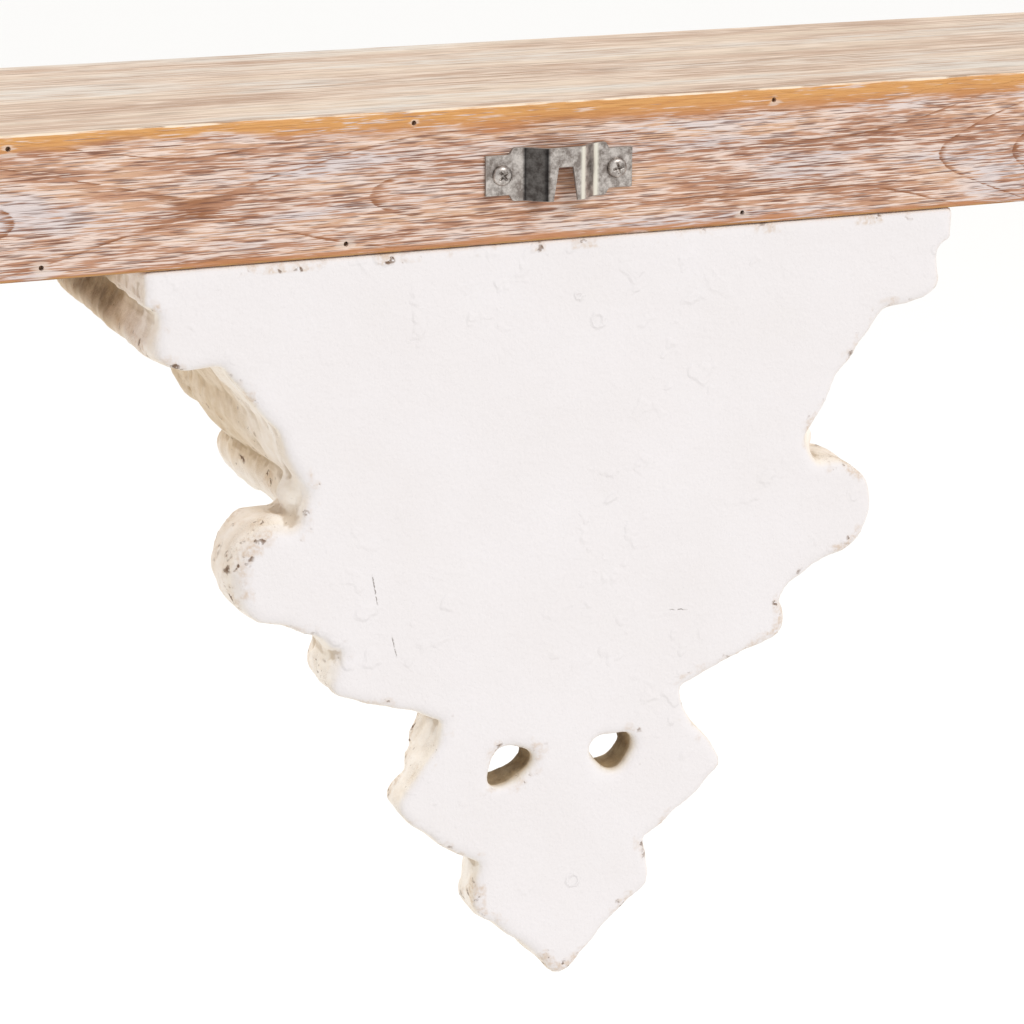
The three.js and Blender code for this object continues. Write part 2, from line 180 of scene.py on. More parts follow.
def limed_board(name, stain, limes, cover, pores_dark, shift, pith, arches=(),
                worn=True, broad=1.0, turn=0):
    """Stained, brushed and limed softwood, in the log's own space, with x along the grain.

    Timber: three tones from noise 60 mm long; a thin dark latewood line where the distance from the
    tree's pith passes a whole number of rings. The pith wavers, and each arch (x, half width, rise,
    all mm) bends it towards the face there, which draws the arched figure of a flat sawn board.
    Lime: two colours, laid where streaks 12 mm long and half a mm wide, plus slow patches, pass a
    threshold. Dark pores: finer streaks. Bare orange timber within some mm of an arris. Each of
    these is a layer: a colour and the share of it that covers what lies below. Broad enlarges
    every streak, for a board that was brushed less; turn is the grain's angle from x in degrees.
    """
    material, tree, shader = start_material(name, Roughness=0.75, Specular_IOR_Level=0.25)
    place = add_node(tree, "Mapping", {"Vector": add_node(tree, "TexCoord", output=3),
                                       "Rotation": (0, 0, np.radians(turn))})

    def streaks(long, wide, detail, rough, order):
        """Noise with cells long mm along the grain and wide mm across it."""
        scaled = add_node(tree, "Mapping", {
            "Vector": place, "Location": (shift + order, shift - 2.3 * order, 3.1 * order),
            "Scale": (1000 / (long * broad), 1000 / (wide * broad), 1000 / (wide * broad))})
        return add_node(tree, "TexNoise", {"Vector": scaled, "Scale": 1.0, "Detail": detail,
                                           "Roughness": rough, "Distortion": 0.2})

    slow = streaks(60, 7, 3.0, 0.55, 1)
    patches = streaks(80, 11, 3.0, 0.6, 2)
    coarse = streaks(26, 1.7, 3.0, 0.6, 3)
    streak = streaks(12, 0.52, 2.0, 0.6, 4)
    pores = streaks(10, 0.42, 1.0, 0.5, 5)

    # growth rings
    axes = add_node(tree, "SeparateXYZ", {0: place}).node.outputs
    off_pith = add_node(tree, "VectorMath", {0: place, 1: (0, -pith[0] / 1000, -pith[1] / 1000)})
    off_pith = add_node(tree, "VectorMath", {0: off_pith, 1: (0, 1, 1)}, operation="MULTIPLY")
    rings = add_node(tree, "VectorMath", {0: off_pith}, output=1, operation="LENGTH")
    rings = add_node(tree, "Math", {0: rings, 1: 1000 / RING}, operation="MULTIPLY")
    for waver, long, wide, order in ((0.5, 240, 500, 6), (0.2, 40, 30, 7), (0.04, 9, 1.5, 8)):
        rings = add_node(tree, "Math", {0: streaks(long, wide, 2.0, 0.5, order), 1: waver, 2: rings},
                         operation="MULTIPLY_ADD")
    for middle, half, rise in arches:
        along = add_node(tree, "Math", {0: axes["X"], 1: -middle / 1000})
        near = add_node(tree, "MapRange", {
            "Value": add_node(tree, "Math", {0: along}, operation="ABSOLUTE"), "From Min": half / 1000,
            "From Max": 0.0, "To Max": rise / RING}, interpolation_type="SMOOTHSTEP")
        rings = add_node(tree, "Math", {0: rings, 1: near})
    in_ring = add_node(tree, "Math", {0: rings}, operation="FRACT")
    line = add_node(tree, "MapRange", {"Value": in_ring, "From Min": 0.90, "From Max": 0.97,
                                       "To Max": 0.85})
    line = add_node(tree, "Math", {0: line, 1: add_node(
        tree, "MapRange", {"Value": in_ring, "From Min": 1.0, "From Max": 0.985})}, operation="MULTIPLY")
    line = add_node(tree, "Math", {0: line, 1: add_node(
        tree, "MapRange", {"Value": coarse, "From Min": 0.40, "From Max": 0.56})}, operation="MULTIPLY")

    # timber colour, under all the layers
    tone = add_node(tree, "Math", {0: in_ring, 1: -0.06, 2: slow}, operation="MULTIPLY_ADD")
    ramp = add_node(tree, "ValToRGB", {"Fac": tone})
    stops = ramp.node.color_ramp.elements
    stops[0].position, stops[0].color = 0.32, linear(stain[0])
    stops[1].position, stops[1].color = 0.62, linear(stain[2])
    stops.new(0.47).color = linear(stain[1])
    layers = [(line, stain[3])]

    # lime in the brushed grain, and dark pores
    laid = add_node(tree, "Math", {0: coarse, 1: 0.55, 2: streak}, operation="MULTIPLY_ADD")
    laid = add_node(tree, "Math", {0: patches, 1: 0.5, 2: laid}, operation="MULTIPLY_ADD")
    laid = add_node(tree, "Math", {0: line, 1: -0.22, 2: laid}, operation="MULTIPLY_ADD")
    limed = add_node(tree, "MapRange", {"Value": laid, "From Min": 1.03 - cover,
                                        "From Max": 1.15 - cover, "To Max": 0.86})
    second = add_node(tree, "MapRange", {"Value": patches, "From Min": 0.47, "From Max": 0.62})
    lime = add_node(tree, "Mix", {0: second, 6: limes[0], 7: limes[1]}, 2, data_type="RGBA")
    dark = add_node(tree, "MapRange", {"Value": pores, "From Min": 0.53, "From Max": 0.66,
                                       "To Max": pores_dark})
    layers += [(limed, lime), (dark, stain[4])]

    # bare timber along the arrises, and filler round the brad holes
    if worn:
        ragged = streaks(110, 90, 4.0, 0.6, 9)
        level = add_node(tree, "Math", {0: axes["Z"], 1: -1000.0, 2: TOP_ARRIS}, operation="MULTIPLY_ADD")
        reach = add_node(tree, "MapRange", {"Value": ragged, "From Min": 0.38, "From Max": 0.62,
                                            "To Min": 2.5, "To Max": 8.0})
        reach = add_node(tree, "Math", {0: coarse, 1: 7.0, 2: reach}, operation="MULTIPLY_ADD")
        bare = add_node(tree, "MapRange", {"Value": add_node(
            tree, "Math", {0: reach, 1: level}, operation="SUBTRACT"), "From Min": 1.4, "From Max": 4.0})
        bare_low = add_node(tree, "MapRange", {"Value": add_node(
            tree, "Math", {0: reach, 1: 0.3, 2: level}, operation="MULTIPLY_ADD"),
            "From Min": 2 * TOP_ARRIS, "From Max": 2 * TOP_ARRIS + 0.8, "To Max": 0.9})
        bare = add_node(tree, "Math", {0: bare, 1: bare_low}, operation="MAXIMUM")
        kept = add_node(tree, "MapRange", {"Value": laid, "From Min": 1.19 - cover,
                                           "From Max": 1.30 - cover, "To Min": 1.0, "To Max": 0.2})
        bare = add_node(tree, "Math", {0: bare, 1: kept}, operation="MULTIPLY")
        near_top = add_node(tree, "MapRange", {"Value": level, "From Min": 8.0, "From Max": 3.0})
        golden = add_node(tree, "Mix", {0: near_top, 6: "#B9805A", 7: "#D39C60"}, 2, data_type="RGBA")
        pored = add_node(tree, "MapRange", {"Value": pores, "From Min": 0.45, "From Max": 0.68,
                                            "To Max": 0.5})
        orange = add_node(tree, "Mix", {0: pored, 6: golden, 7: "#B87A48"}, 2, data_type="RGBA")

        # the brads lie alike at both ends, so one half of them serves for both
        spot = None
        flat = add_node(tree, "CombineXYZ", {
            "X": add_node(tree, "Math", {0: axes["X"]}, operation="ABSOLUTE"), "Z": axes["Z"]})
        for brad in (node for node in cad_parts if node.startswith("back_") and "_brad_" in node):
            low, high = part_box(brad)
            if low[0] > 0:
                middle = (low + high) / 2
                gap = add_node(tree, "VectorMath", {0: flat, 1: (middle.x, 0, middle.z)}, output=1,
                               operation="DISTANCE")
                spot = gap if spot is None else add_node(tree, "Math", {0: spot, 1: gap},
                                                         operation="MINIMUM")
        edge = add_node(tree, "Math", {0: coarse, 1: 0.014, 2: spot}, operation="MULTIPLY_ADD")
        filler = add_node(tree, "MapRange", {"Value": edge, "From Min": 0.0094, "From Max": 0.0082,
                                             "To Max": 0.6})
        layers += [(bare, orange), (filler, "#DCCBBE")]

    colour = ramp
    for share, above in layers:
        colour = add_node(tree, "Mix", {0: share, 6: colour, 7: above}, 2, data_type="RGBA")
    tree.links.new(colour, shader.inputs["Base Color"])
    relief = add_node(tree, "Math", {0: pores, 1: -0.8, 2: streak}, operation="MULTIPLY_ADD")
    relief = add_node(tree, "Math", {0: line, 1: -0.5, 2: relief}, operation="MULTIPLY_ADD")
    bump = add_node(tree, "Bump", {"Strength": 0.8, "Distance": 0.0005, "Height": relief})
    tree.links.new(bump, shader.inputs["Normal"])
    return material


# stain: dark, middle and light tones, latewood line, pore
BROWN_STAIN = ("#A4745A", "#BC8E73", "#D1A98C", "#92603F", "#6E4B3F")
PALE_STAIN = ("#B3957F", "#C6AC97", "#D3BFAA", "#A58B76", "#8F7A6B")
COOL_LIME = ("#E9D5C9", "#DAD1D0")
CREAM_LIME = ("#E4D1BE", "#DAD2C7")

board_finish = limed_board("stained limed softwood", BROWN_STAIN, COOL_LIME, 0.08, 0.75, 0.0,
                           (-16.0, -4.0),
                           [(-168, 90, 9.1), (-551, 150, -25), (90, 130, 10.5), (420, 190, -18)])
front_finish = limed_board("stained limed softwood front", BROWN_STAIN, COOL_LIME, 0.08, 0.75, 31.0,
                           (-153.0, 4.0), [(-420, 130, 11), (60, 160, -12), (470, 150, 14)])
top_finish = limed_board("limed softwood shelf top", PALE_STAIN, CREAM_LIME, 0.07, 0.5, 23.0,
                         (-30.0, -60.0), worn=False, broad=2.2)
under_finish = limed_board("limed softwood underside", BROWN_STAIN, COOL_LIME, 0.0, 0.5, 40.0,
                           (-70.0, 40.0), [(-200, 200, 12), (300, 180, -10)], worn=False)
end_finish = limed_board("limed softwood end", BROWN_STAIN, COOL_LIME, 0.08, 0.75, 52.0,
                         (-640.0, 10.0), worn=False, turn=90)

for board, finish in (("back_board", board_finish), ("front_board", front_finish),
                      ("top_panel", top_finish), ("bottom_panel", under_finish),
                      ("left_end_board", end_finish), ("right_end_board", end_finish)):
    assign(board, finish)


# ---------------------------------------------------------------------------------------------
# Mitre seams. Glue and lime paste close the four long mitres; sanding them by hand leaves each
# arris a pale, slightly uneven round; on the upper arrises the pale paste is also a painted highlight.
# ---------------------------------------------------------------------------------------------

ARRIS = 0.00125              # m, radius of the eased arris
SEAM_RINGS = 601             # along the beam, one every 2 mm
SEAM_SIDES = 12


def sanded_arris(y, z, phase):
    """A bar along the beam: a circle of the arris's radius, less an unevenness that is a sum of
    three slow waves along it, carried from end to end; the first and last rings close to a point."""
    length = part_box("back_board")[1][0]
    x = np.concatenate([[-length], np.linspace(-length, length, SEAM_RINGS), [length]])[:, None]
    angle = np.linspace(0, 2 * np.pi, SEAM_SIDES, endpoint=False)[None, :]
    uneven = np.sin(x * 61 + phase) + np.sin(x * 147 + 2 * phase) + np.sin(x * 389 + 3 * phase)
    radius = ARRIS * (0.985 - 0.02 * np.abs(uneven))
    radius[[0, -1]] = 0.00001
    points = np.stack([x + 0 * angle, y + radius * np.cos(angle), z + radius * np.sin(angle)], -1)
    points = points.reshape(-1, 3)
    at = np.arange(len(points)).reshape(len(x), SEAM_SIDES)
    on = np.roll(at, -1, 1)
    return points, np.stack([at[:-1], at[1:], on[1:], on[:-1]], -1).reshape(-1, 4)


def pasted_seam(name, paste, timber):
    """Lime paste rubbed thin over the arris, with the timber showing through where a noise 25 mm
    long is low."""
    material, tree, shader = start_material(name, Roughness=0.8, Specular_IOR_Level=0.2)
    long = add_node(tree, "Mapping", {"Vector": add_node(tree, "TexCoord", output=3),
                                      "Scale": (40, 600, 600)})
    rubbed = add_node(tree, "TexNoise", {"Vector": long, "Scale": 1.0, "Detail": 5.0, "Roughness": 0.65})
    bared = add_node(tree, "MapRange", {"Value": rubbed, "From Min": 0.50, "From Max": 0.38})
    tree.links.new(add_node(tree, "Mix", {0: bared, 6: paste, 7: timber}, 2, data_type="RGBA"),
                   shader.inputs["Base Color"])
    tree.links.new(add_node(tree, "Bump", {"Strength": 0.3, "Distance": 0.0003, "Height": rubbed}),
                   shader.inputs["Normal"])
    return material


# painted highlight: the pale paste on the upper arrises also stands in for the light caught along them
paste_and_painted_highlight = pasted_seam("lime paste and painted highlight on a sanded arris", "#EBD9C2", "#D29A63")
lower_seam_finish = pasted_seam("bare sanded arris", "#BC8E5B", "#9C6D44")
beam_low, beam_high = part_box("bottom_panel")[0].z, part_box("top_panel")[1].z
beam_back, beam_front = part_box("back_board")[1].y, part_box("front_board")[0].y
for seam, y, z in (("upper_back_seam", beam_back - ARRIS, beam_high - ARRIS),
                   ("lower_back_seam", beam_back - ARRIS, beam_low + ARRIS),
                   ("upper_front_seam", beam_front + ARRIS, beam_high - ARRIS),
                   ("lower_front_seam", beam_front + ARRIS, beam_low + ARRIS)):
    seam_points, seam_faces = sanded_arris(y, z, 1000 * y + 100 * z)
    seam_piece = mesh_object(seam, seam_points, seam_faces)
    seam_finish = paste_and_painted_highlight if seam.startswith("upper") else lower_seam_finish
    seam_piece.data.materials.append(seam_finish)
    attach(seam_piece, "root")


# ---------------------------------------------------------------------------------------------
# Bearer blocks and centre rib. Sawn pine inside the beam, glued and screwed, never finished.
# ---------------------------------------------------------------------------------------------

RAW_PINE = ("#C9A36E", "#D6B480", "#E2C698", "#B98D55", "#A07A4C")

raw_pine = limed_board("sawn raw pine", RAW_PINE, ("#E0C79B", "#DCC08F"), -0.05, 0.3, 61.0,
                       (-30.0, -50.0), worn=False)
for inner in ("left_bearer_block", "right_bearer_block", "centre_rib"):
    assign(inner, raw_pine)


# ---------------------------------------------------------------------------------------------
# Brads and bracket screws. Steel wire brads punched below the surface; black phosphated wood
# screws driven down through the bearer blocks into the brackets.
# ---------------------------------------------------------------------------------------------

phosphated_steel, steel_tree, steel_shader = start_material("phosphated steel", Metallic=0.9,
                                                            Roughness=0.5)
steel_blotch = add_node(steel_tree, "TexNoise", {
    "Vector": add_node(steel_tree, "TexCoord", output=3), "Scale": 2500.0, "Detail": 3.0})
steel_tree.links.new(add_node(steel_tree, "Mix", {0: steel_blotch, 6: "#5A4636", 7: "#8A6C54"}, 2,
                              data_type="RGBA"), steel_shader.inputs["Base Color"])
for node_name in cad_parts:
    if "_brad_" in node_name or "_bracket_screw_" in node_name:
        assign(node_name, phosphated_steel)


# ---------------------------------------------------------------------------------------------
# Brackets. Each is carved from one block: a moulded cap, a deep scrolled body with an acanthus
# leaf down its front, and a thin pierced plate behind with round lobes, diamond and foot.
# ---------------------------------------------------------------------------------------------

# The carver's drawing, in mm: x across, z down from the shelf, d forward from the flat back.
CAP_HALF = 149.0
CAP_FRONT = 128.0
CAP_HEIGHT = 34.0
DROP = 272.0
LOBE = (104.0, -107.0, 18.0)
BEAD = (78.5, -145.5, 9.3)
EYES = (((21.0, -189.0), (8.8, 6.2), -27.0), ((-19.8, -188.5), (7.6, 7.2), 0.0))
CELL = 1.5                   # mm, the spacing of the surface's points


def arc(x, z, radius, start, stop, steps=9):
    """Points round a centre, from one angle in degrees to another."""
    angle = np.radians(np.linspace(start, stop, steps))
    return np.column_stack([x + radius * np.cos(angle), z + radius * np.sin(angle)])


def bow(a, b, c, steps=7):
    """A quadratic curve from a to c, drawn towards b."""
    t = np.linspace(0, 1, steps)[:, None]
    return (1 - t) ** 2 * np.array(a) + 2 * t * (1 - t) * np.array(b) + t ** 2 * np.array(c)


def smooth_max(a, b, blend):
    """The larger of two fields, rounded over where they are within blend of each other."""
    near = np.maximum(blend - np.abs(a - b), 0) / blend
    return np.maximum(a, b) + near ** 2 * blend / 4


def smooth_min(a, b, blend):
    """The smaller of two fields, filleted in the same way."""
    return -smooth_max(-a, -b, blend)


def bump_at(value, middle, width):
    """A rounded ridge: a Gaussian of value about middle."""
    return np.exp(-((value - middle) / width) ** 2)


def ease(value, low, high):
    """0 to 1 between low and high, with a smooth start and end."""
    t = np.clip((value - low) / (high - low), 0, 1)
    return t * t * (3 - 2 * t)


def outline_field(u, v, outline):
    """Signed distance from points (u, v) to a closed outline, negative inside, and how far along
    the outline the nearest place is. Distance: the least over all its edges. Inside: an odd number
    of edges crossed on the way to u = infinity."""
    start = np.asarray(outline, np.float32)
    edge = np.roll(start, -1, 0) - start
    length = np.hypot(edge[:, 0], edge[:, 1]) + 1e-6
    du = u[..., None] - start[:, 0]
    dv = v[..., None] - start[:, 1]
    share = np.clip((du * edge[:, 0] + dv * edge[:, 1]) / length ** 2, 0, 1)
    gap = np.hypot(du - share * edge[:, 0], dv - share * edge[:, 1])
    nearest = gap.argmin(-1)
    along = np.cumsum(length) - length
    place = along[nearest] + np.take_along_axis(share, nearest[..., None], -1)[..., 0] * length[nearest]
    straddles = (dv < 0) != (dv - edge[:, 1] < 0)
    slope = np.where(np.abs(edge[:, 1]) < 1e-6, 1e-6, edge[:, 1])
    crossed = straddles & (du < dv / slope * edge[:, 0])
    inside = crossed.sum(-1) % 2 == 1
    return np.where(inside, -gap.min(-1), gap.min(-1)), place


def surface_net(field, low, step):
    """The closed surface on which a gridded field is zero. Each cell with corners on both sides
    gets one vertex, the mean of the crossings on its edges; each crossed grid edge gets the quad
    of the four cells round it, wound to face the positive side."""
    cells = tuple(n - 1 for n in field.shape)
    total = np.zeros((*cells, 3), np.float32)
    count = np.zeros(cells, np.float32)
    crossings = []
    for axis in range(3):
        first = [slice(None)] * 3
        last = [slice(None)] * 3
        first[axis], last[axis] = slice(0, -1), slice(1, None)
        near, far = field[tuple(first)], field[tuple(last)]
        crossed = (near < 0) != (far < 0)
        share = np.where(crossed, near / np.where(crossed, near - far, 1), 0)
        crossings.append((crossed, near < 0))
        b, c = (axis + 1) % 3, (axis + 2) % 3
        for db in (0, 1):
            for dc in (0, 1):
                part = [slice(None)] * 3
                part[b] = slice(db, db + cells[b])
                part[c] = slice(dc, dc + cells[c])
                hit = crossed[tuple(part)]
                total[..., axis] += share[tuple(part)]
                total[..., b] += db * hit
                total[..., c] += dc * hit
                count += hit
    mixed = count > 0
    number = np.full(cells, -1)
    number[mixed] = np.arange(mixed.sum())
    vertices = low + step * (np.argwhere(mixed) + total[mixed] / count[mixed][:, None])
    quads = []
    for axis, (crossed, rising) in enumerate(crossings):
        b, c = (axis + 1) % 3, (axis + 2) % 3
        where = np.argwhere(crossed)
        where = where[(where[:, b] > 0) & (where[:, c] > 0)
                      & (where[:, b] < cells[b]) & (where[:, c] < cells[c])]
        ring = []
        for db, dc in ((-1, -1), (0, -1), (0, 0), (-1, 0)):
            corner = where.copy()
            corner[:, b] += db
            corner[:, c] += dc
            ring.append(number[tuple(corner.T)])
        ring = np.column_stack(ring)
        outward = rising[tuple(where.T)]
        quads.append(np.where(outward[:, None], ring, ring[:, ::-1]))
    return vertices, np.concatenate(quads)


def both_sides(half):
    """A closed outline from its right half, drawn top to bottom."""
    half = np.vstack(half)
    return np.vstack([half, (half * (-1, 1))[::-1]])


lobe_line = arc(*LOBE, 103, -78, 14)
bead_line = arc(*BEAD, 36, -72)
corner_line = arc(57.5, -198, 5, 36, -36, 5)
foot_line = arc(25, -238, 10, 27, -81)
PLATE_OUTLINE = both_sides([
    [(CAP_HALF, 12), (CAP_HALF, -11)],
    bow((CAP_HALF, -11), (CAP_HALF - 5.5, -13), (CAP_HALF - 5.5, -17)),
    bow((CAP_HALF - 5.5, -17), (CAP_HALF - 3, -24), (CAP_HALF - 8, -29.5)),
    bow((CAP_HALF - 8, -29.5), (CAP_HALF - 12, -CAP_HEIGHT), (CAP_HALF - 26, -CAP_HEIGHT)),
    bow((CAP_HALF - 26, -CAP_HEIGHT), (115, -47), (105.4, -53.6)),
    bow((105.4, -53.6), (97.5, -62), (93.2, -78.4)),
    bow((93.2, -78.4), (93.2, -85), lobe_line[0]),
    lobe_line,
    bow(lobe_line[-1], (97, -126.5), (90.3, -133), 5),
    bow((90.3, -133), (86.5, -136.5), bead_line[0], 4),
    bead_line,
    bow(bead_line[-1], (62, -161), (46, -168), 6),
    bow((46, -168), (47, -179), (54, -184.5), 6),
    corner_line,
    bow(corner_line[-1], (49, -215), (32.5, -224.5), 7),
    foot_line,
    bow(foot_line[-1], (15, -258), (5.5, -268.5), 7),
    bow((5.5, -268.5), (3, -DROP), (0, -DROP), 4),
])
BODY_OUTLINE = both_sides([
    [(CAP_HALF - 26, 12), (CAP_HALF - 26, -CAP_HEIGHT)],
    bow((CAP_HALF - 26, -CAP_HEIGHT), (114, -48), (107, -58)),
    bow((107, -58), (106, -72), (93.5, -81.5)),
    bow((93.5, -81.5), (99, -92), (88, -100)),
    bow((88, -100), (68, -99), (58, -112)),
    bow((58, -112), (46, -128), (40, -160)),
    [(0, -170)],
])
BODY_SIDE = np.vstack([
    [(-20, 12), (112, 12), (112, -CAP_HEIGHT)],
    arc(107, -60, 16, 60, -77, 12),
    [(94, -79)],
    arc(94, -90, 11, 50, -72, 8),
    bow((97.4, -100.5), (78, -99), (62, -117), 8)[1:],
    arc(40, -138, 17, 28, -90),
    [(-20, -160)],
])


def carved_bracket(seed):
    """Vertices (mm) and quads of one bracket, how sharp each place is, and how much painted shade, with
    some grime, each place gets.

    The solid is a field, negative inside: the smooth union of a moulded cap, a scrolled body, a
    small knob in each throat and a pierced plate, whose lobe and bead on the +X side are rounded
    over towards the back.
    Plate: outline met with a thickness that changes with z and carries the relief.
    Body: outline met with a side scroll, grooved by veins that run out from a middle rib.
    """
    x = np.arange(-CAP_HALF - 3, CAP_HALF + 3.1, CELL, dtype=np.float32)
    d = np.arange(-3, CAP_FRONT + 3.1, CELL, dtype=np.float32)
    z = np.arange(-DROP - 3, 3.1, CELL, dtype=np.float32)
    across, height = np.meshgrid(x, z, indexing="ij")
    forward_d, height_d = np.meshgrid(d, z, indexing="ij")
    half_x = np.abs(across)

    plate_edge, _ = outline_field(half_x, height, PLATE_OUTLINE)
    body_edge, _ = outline_field(half_x, height, BODY_OUTLINE)
    scroll, along = outline_field(forward_d, height_d, BODY_SIDE)

    # thickness of the plate, and the relief on its front
    levels = [-DROP, -240, -215, -200, -189, -180, -150, -125, -90, -60, 0]
    thickness = [13, 17, 21, 21, 15, 29, 28, 26, 30, 34, 36]
    front = np.interp(height, levels, thickness)
    front -= 2.2 * bump_at(plate_edge, -6.5, 1.7)
    lobe_reach = np.hypot(half_x - LOBE[0], height - LOBE[1])
    bead_reach = np.hypot(half_x - BEAD[0], height - BEAD[1])
    front -= 2.6 * bump_at(lobe_reach, 11.0, 1.7)
    front += 3.0 * (1 - ease(lobe_reach, 0, 8))
    front += 3.0 * (1 - ease(bead_reach, 0, 8))
    fan = np.arctan2(half_x, -(height + 196))
    fan_reach = np.hypot(half_x, height + 196)
    below = ease(-height, 192, 206)
    front += 1.7 * np.cos(10 * fan) * ease(fan_reach, 9, 22) * below
    leaf_fan = np.arctan2(half_x, -(height + 40))
    above = ease(height, -182, -172) * ease(half_x, 30, 46)
    front += 1.5 * np.cos(26 * leaf_fan) * above * ease(lobe_reach, 16, 22)
    for (eye_x, eye_z), _, _ in EYES:
        front += 2.4 * bump_at(np.hypot(across - eye_x, height - eye_z), 11.5, 2.2)

    # relief of the body: a leaf in a middle panel, side leaves beyond a wavy valley
    width = np.interp(height, [-168, -128, -110, -94, -90, -60, -34], [40, 47, 58, 74, 92, 104, 122])
    run = along / along.max()
    q = (half_x / width)[:, None, :]
    s = (run * 31)[None, :, :]
    valley = 0.5 + 0.045 * np.cos(2 * np.pi * s / 3.1)
    leaf = 2.4 * bump_at(q, 0, 0.05) - 1.6 * bump_at(q, 0.12, 0.04) + 0 * s
    leaf -= 3.4 * bump_at(q, valley, 0.045)
    side_leaves = ease(q, 0.14, 0.26) * (1 - ease(q, 0.86, 1.0))
    leaf += 1.5 * np.cos(2 * np.pi * (s * 0.55 + 1.5 * q)) * side_leaves
    leaf *= ease(-height_d, 30, 44)[None]

    # spiral on the cheeks, about the eye of the large volute
    turn = np.arctan2(height_d + 60, forward_d - 106) / (2 * np.pi)
    reach = np.hypot(height_d + 60, forward_d - 106)
    phase = np.abs((reach / 6.5 - turn) % 1 - 0.5) * 6.5
    spiral = 1.1 * bump_at(phase, 0, 1.2) * ease(reach, 2, 6) * (1 - ease(reach, 13, 17))
    drawn_in = 3.5 * (1 - ease(forward_d, 12, 85))

    # plate, body and cap put together, the knobs added and the eyes cut through
    rounded = 3.2 * (1 - ease(lobe_reach, 17, 23)) * ease(height, -124, -110)
    rounded += 3.6 * (1 - ease(bead_reach, 9, 13)) * ease(height, -151, -144)
    rounded *= across > 0
    eased_off = rounded[:, None, :] * (1 - ease(d, 0, 9))[None, :, None]
    plate = smooth_max(plate_edge[:, None, :] + eased_off, d[None, :, None] - front[:, None, :], 5.0)
    body = smooth_max(body_edge[:, None, :] + (spiral + drawn_in)[None], scroll[None] - leaf, 4.5)
    inset = np.interp(z, [-CAP_HEIGHT, -31.5, -29, -25.5, -21, -17, -14.5, -12, -11, 3],
                      [12, 5.2, 2.4, 1.6, 3.4, 5.0, 5.4, 2.2, 0, 0])
    back_round = 2.6 * (1 - ease(d[:, None], 0, 8)) * ease(-z, 16, 20)
    cap = smooth_max(half_x[:, None, :] - CAP_HALF + (inset + back_round)[None],
                     (d[:, None] - CAP_FRONT + inset)[None], 1.5)
    cap = smooth_max(cap, -CAP_HEIGHT - z[None, None, :], 2.0)
    solid = smooth_min(smooth_min(plate, body, 5.0), cap, 2.5)
    throat = np.hypot(half_x - 95, height + 83)[:, None, :]
    solid = smooth_min(solid, np.hypot(throat, d[None, :, None] - 13) - 6, 6.0)
    for (eye_x, eye_z), (wide, tall), tilt in EYES:
        cos, sin = np.cos(np.radians(tilt)), np.sin(np.radians(tilt))
        a = ((across - eye_x) * cos + (height - eye_z) * sin) / wide
        b = ((height - eye_z) * cos - (across - eye_x) * sin) / tall
        uneven = 1 + 0.10 * np.cos(3 * np.arctan2(b, a) + eye_x / 14)
        solid = smooth_max(solid, ((uneven - np.hypot(a, b)) * tall)[:, None, :], 2.5)

    # unevenness left by the knife and by the thick paint: sums of seeded waves
    chance = np.random.default_rng(seed)
    point = np.meshgrid(x, d, z, indexing="ij", sparse=True)
    for shortest, longest, height_of_wave in ((16, 55, 0.16),) * 9 + ((7, 15, 0.12),) * 8:
        wave = chance.normal(size=3)
        wave *= 2 * np.pi / chance.uniform(shortest, longest) / np.linalg.norm(wave)
        start = chance.uniform(0, 2 * np.pi)
        place = wave[0] * point[0] + wave[1] * point[1] + wave[2] * point[2] + start
        solid += height_of_wave * np.sin(place)
    planed = 0.25 + 0.12 * np.sin(point[0] / 9 + seed) * np.sin(point[2] / 13) + 0.1 * np.sin(
        point[0] / 21 - point[2] / 17 + seed)
    solid = smooth_max(solid, planed - d[None, :, None], 3.6)
    solid = smooth_max(solid, z[None, None, :], 1.5).astype(np.float32)
    vertices, quads = surface_net(solid, np.array([x[0], d[0], z[0]]), CELL)

    # sharpness: the field's Laplacian, positive on arrises and negative in hollows
    soft = solid.copy()
    for axis in range(3):
        soft = (np.roll(soft, 1, axis) + 2 * soft + np.roll(soft, -1, axis)) / 4
    sharp = sum(np.roll(soft, 1, axis) + np.roll(soft, -1, axis) - 2 * soft for axis in range(3))
    sharp = sharp / CELL ** 2
    cell = np.round((vertices - (x[0], d[0], z[0])) / CELL).astype(int)
    cell = np.clip(cell, 0, np.array(solid.shape) - 1)

    # painted shade, with some grime: darkening on the cap's ends and on the cheeks behind their fronts,
    # where the shelf's shade falls, and on the walls of the eyes
    side, depth, level = vertices.T
    behind = ease(depth, 8, 60)
    cap_end = behind * ease(level, -40, -20)
    cheek = 0.6 * behind * ease(level, -96, -82) * (1 - ease(level, -36, -30))
    from_eye = [np.hypot(side - x0, level - z0) / (1.35 * size[0]) for (x0, z0), size, _ in EYES]
    in_eye = ease(depth, 2, 6) * (np.minimum(*from_eye) < 1)
    painted_shade_and_grime = np.maximum(np.maximum(cap_end, cheek), in_eye)
    return vertices, quads, sharp[tuple(cell.T)], painted_shade_and_grime


# on the backs, in mm: scratches as x and z of one end, then of the other, and dents as x, z, radius
SCRATCHES = ((-228, -134, -230, -146), (-235, -157, -237, -166),
             (-340, -161, -348, -162), (322, -96, 331, -118))
DENTS = ((-304, -43.5, 2.2), (-311, -52.5, 3.6), (-303.7, -259.5, 2.6), (288, -71, 3.0))


